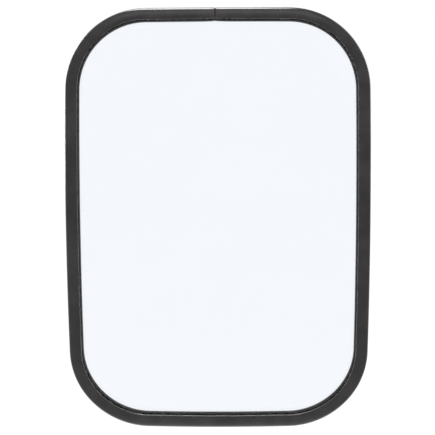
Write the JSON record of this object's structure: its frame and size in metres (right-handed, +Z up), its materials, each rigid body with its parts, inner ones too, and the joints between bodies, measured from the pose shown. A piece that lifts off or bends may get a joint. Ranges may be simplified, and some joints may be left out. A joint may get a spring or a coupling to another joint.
{
  "type": "convex security mirror",
  "caption": "Rectangular convex security mirror with a rubber-edged rim, on a wall bracket with a swing arm and a clamped ball joint.",
  "frame": {"origin": "middle of the wall plate's back face, where it meets the wall", "axes": "+Y into the wall, the mirror faces -Y, +Z up along the mirror's long side, +X to the right of somebody who looks into the mirror"},
  "size_m": [0.1906, 0.15, 0.2666],
  "materials": {
    "rubber_trim": "moulded black rubber, low sheen",
    "mirror_glass": "clear bent glass, polished",
    "silvering": "silvered second surface",
    "pan_paint": "fine-textured black powder coat on drawn steel",
    "bracket_paint": "semi-gloss black powder coat on steel",
    "zinc_steel": "bright zinc plate",
    "stud_steel": "turned and polished ball stud, nickel plated",
    "nylon": "natural nylon, self-lubricating",
    "foam": "closed-cell foam"
  },
  "bodies": {
    "wall_bracket": {"wall_plate": "bracket_paint", "hinge_lug_upper": "bracket_paint", "hinge_lug_lower": "bracket_paint", "pivot_bolt": "zinc_steel", "pivot_washers": "zinc_steel", "pivot_locknut": "zinc_steel"},
    "swing_arm": {"arm_barrel": "bracket_paint", "arm_tube": "bracket_paint", "pivot_bush_upper": "nylon", "pivot_bush_lower": "nylon", "rear_jaw": "bracket_paint", "front_jaw": "bracket_paint", "carriage_bolts": "zinc_steel", "clamp_washers": "zinc_steel", "spring_washers": "zinc_steel"},
    "wing_nut_left": {"wing_nut_left": "zinc_steel"},
    "wing_nut_right": {"wing_nut_right": "zinc_steel"},
    "ball_seat": {"seat_front": "nylon", "seat_rear": "nylon"},
    "ball_stud": {"ball_stud": "stud_steel", "jam_nut": "zinc_steel", "stud_washer": "zinc_steel"},
    "mirror_head": {"mirror_glass": "mirror_glass", "silver_film": "silvering", "edge_trim": "rubber_trim", "back_pan": "pan_paint", "reinforcing_plate": "zinc_steel", "rivets": "zinc_steel", "weld_nut": "zinc_steel", "foam_pads": "foam"}
  },
  "joints": [
    {"name": "arm_swing", "type": "hinge", "parent": "wall_bracket", "child": "swing_arm", "pos_m": [0, -0.024, 0], "axis": [0, 0, 1], "range_deg": [-45, 45]},
    {"name": "ball_pan", "type": "hinge", "parent": "swing_arm", "child": "ball_seat", "pos_m": [0, -0.086, 0], "axis": [0, 0, 1], "range_deg": [-20, 20]},
    {"name": "ball_tilt", "type": "hinge", "parent": "ball_seat", "child": "ball_stud", "pos_m": [0, -0.086, 0], "axis": [1, 0, 0], "range_deg": [-30, 30]},
    {"name": "head_roll", "type": "hinge", "parent": "ball_stud", "child": "mirror_head", "pos_m": [0, -0.116, 0], "axis": [0, 1, 0], "range_deg": [-90, 90]},
    {"name": "wing_nut_left_turn", "type": "hinge", "parent": "swing_arm", "child": "wing_nut_left", "pos_m": [-0.026, -0.078, 0], "axis": [0, 1, 0], "continuous": true},
    {"name": "wing_nut_right_turn", "type": "hinge", "parent": "swing_arm", "child": "wing_nut_right", "pos_m": [0.026, -0.078, 0], "axis": [0, 1, 0], "continuous": true}
  ]
}
